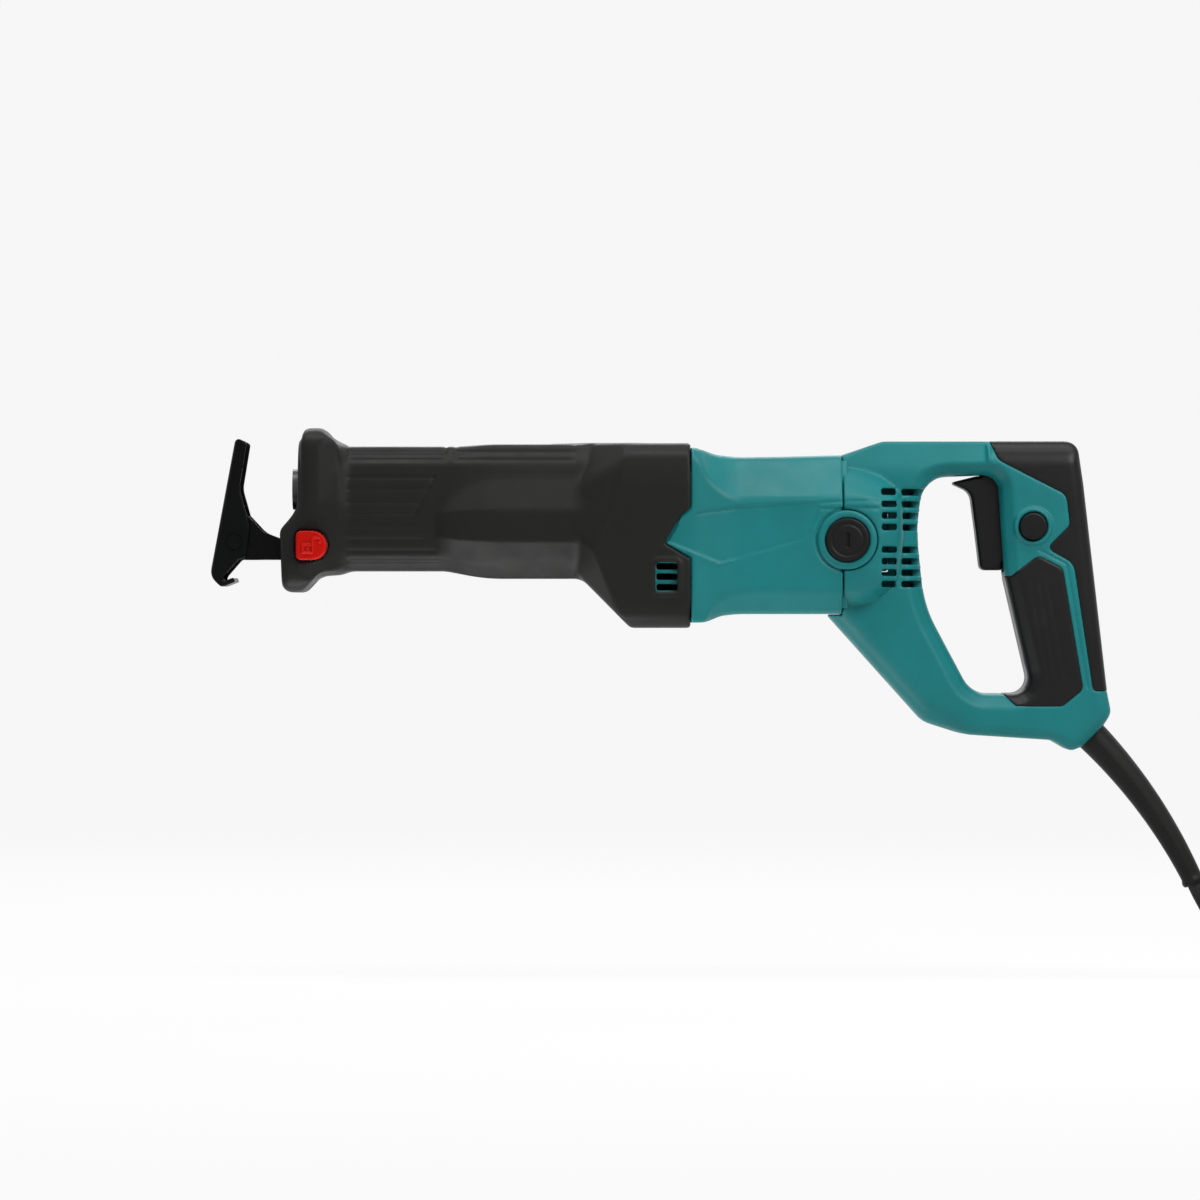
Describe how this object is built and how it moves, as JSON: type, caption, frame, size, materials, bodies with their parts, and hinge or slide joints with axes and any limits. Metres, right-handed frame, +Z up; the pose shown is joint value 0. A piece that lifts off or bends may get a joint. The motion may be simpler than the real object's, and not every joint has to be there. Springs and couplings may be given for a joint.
{
  "type": "reciprocating saw",
  "caption": "Corded reciprocating saw with a tilting shoe on a sliding rail, rubber-covered gear barrel, in-line motor housing and a D-shaped trigger handle with coiled power cord",
  "frame": {"origin": "middle of the rear grip, where the trigger hand holds the saw", "axes": "+X from the nose to the rear handle, +Y towards the right-hand shell, +Z up; the picture looks along +Y"},
  "size_m": [0.657, 0.1573, 0.2788],
  "materials": {
    "teal_plastic": "moulded, fine spark texture",
    "black_rubber": "soft matte",
    "black_grip": "moulded-on soft grip",
    "black_steel": "gloss black coat",
    "bright_steel": "ground",
    "dark_steel": "blackened",
    "laminated_iron": "stacked sheet",
    "copper_wire": "varnished wire",
    "bronze": "sintered",
    "felt": "pressed felt",
    "cast_aluminium": "die cast",
    "black_plastic": "moulded",
    "carbon": "pressed carbon",
    "red_plastic": "moulded",
    "cord_rubber": "sheathed flex"
  },
  "bodies": {
    "body": {"dust_seal": "felt", "slider_bush": "bronze", "retaining_ring": "bright_steel", "guide_plates": "bright_steel", "gear_bearing_upper": "bright_steel", "gear_bearing_lower": "bright_steel", "gear_housing": "cast_aluminium", "bearing_plate": "cast_aluminium", "housing_screws": "bright_steel", "boot": "black_rubber", "front_bearing": "bright_steel", "rear_bearing": "bright_steel", "bearing_rubber_ring": "black_rubber", "field_core": "laminated_iron", "field_coils": "copper_wire", "baffle": "black_plastic", "motor_housing": "teal_plastic", "brush_holders": "bronze", "carbon_brushes": "carbon", "brush_springs": "bright_steel", "brush_caps": "black_plastic", "handle_left": "teal_plastic", "handle_right": "teal_plastic", "grip_cover_rear": "black_grip", "grip_cover_front": "black_grip", "handle_screws": "bright_steel", "trigger_pin": "bright_steel", "switch_body": "black_plastic", "lock_spring": "bright_steel", "inner_lead": "cord_rubber", "cord_clamp": "black_plastic", "cord_clamp_screws": "bright_steel", "capacitor": "black_plastic", "cord_guard": "black_rubber", "cord_lead": "cord_rubber", "cord_coil": "cord_rubber", "cord_tie": "black_rubber", "plug_body": "black_plastic", "plug_pins": "bronze"},
    "shoe_rail": {"shoe_support": "black_steel"},
    "shoe": {"shoe": "black_steel", "shoe_pivot_pin": "bright_steel"},
    "shoe_lock": {"shoe_lock_button": "red_plastic"},
    "slider": {"slider": "bright_steel", "blade_clamp_holder": "dark_steel", "blade_clamp_pin": "bright_steel", "blade_clamp_spring": "bright_steel"},
    "clamp_sleeve": {"blade_clamp_sleeve": "dark_steel"},
    "crank": {"crank_gear": "bright_steel", "crank_roller": "bright_steel", "counterweight": "bright_steel"},
    "armature": {"armature_shaft": "bright_steel", "armature_core": "laminated_iron", "armature_winding": "copper_wire", "commutator": "copper_wire", "fan": "black_plastic"},
    "trigger": {"trigger": "black_plastic"},
    "plunger": {"switch_plunger": "black_plastic"},
    "lock_on": {"lock_button": "black_plastic"}
  },
  "joints": [
    {"name": "shoe_extend", "type": "slide", "parent": "body", "child": "shoe_rail", "axis": [-1, 0, 0], "range_m": [0, 0.03]},
    {"name": "shoe_tilt", "type": "hinge", "parent": "shoe_rail", "child": "shoe", "pos_m": [-0.4051, 0, 0.0243], "axis": [0, -1, 0], "range_deg": [0, 25]},
    {"name": "shoe_lock_push", "type": "slide", "parent": "body", "child": "shoe_lock", "axis": [0, 1, 0], "range_m": [0, 0.006]},
    {"name": "armature_spin", "type": "hinge", "parent": "body", "child": "armature", "pos_m": [-0.143, 0, 0.025], "axis": [-1, 0, 0], "range_deg": [-585, 585]},
    {"name": "crank_turn", "type": "hinge", "parent": "body", "child": "crank", "pos_m": [-0.247, 0, 0.03], "axis": [0, 0, 1], "range_deg": [-90, 90]},
    {"name": "slider_stroke", "type": "slide", "parent": "body", "child": "slider", "axis": [-1, 0, 0], "range_m": [-0.014, 0.014]},
    {"name": "clamp_sleeve_turn", "type": "hinge", "parent": "slider", "child": "clamp_sleeve", "pos_m": [-0.366, 0, 0.051], "axis": [1, 0, 0], "range_deg": [0, 60], "stiffness_Nm_per_rad": 0.15, "springref_deg": -28.65},
    {"name": "trigger_pull", "type": "hinge", "parent": "body", "child": "trigger", "pos_m": [-0.024, 0, 0.0635], "axis": [0, -1, 0], "range_deg": [0, 5.2], "stiffness_Nm_per_rad": 1, "springref_deg": -11.46},
    {"name": "plunger_press", "type": "slide", "parent": "body", "child": "plunger", "axis": [1, 0, 0], "range_m": [0, 0.0026]},
    {"name": "lock_on_push", "type": "slide", "parent": "body", "child": "lock_on", "axis": [0, 1, 0], "range_m": [0, 0.003], "stiffness_N_per_m": 500, "springref_m": -0.004}
  ],
  "couplings": [
    {"joint": "crank_turn", "follows": "armature_spin", "ratio": 0.15385},
    {"joint": "slider_stroke", "follows": "armature_spin", "m_per_rad": 0.0013712},
    {"joint": "plunger_press", "follows": "trigger_pull", "m_per_rad": 0.028645}
  ]
}
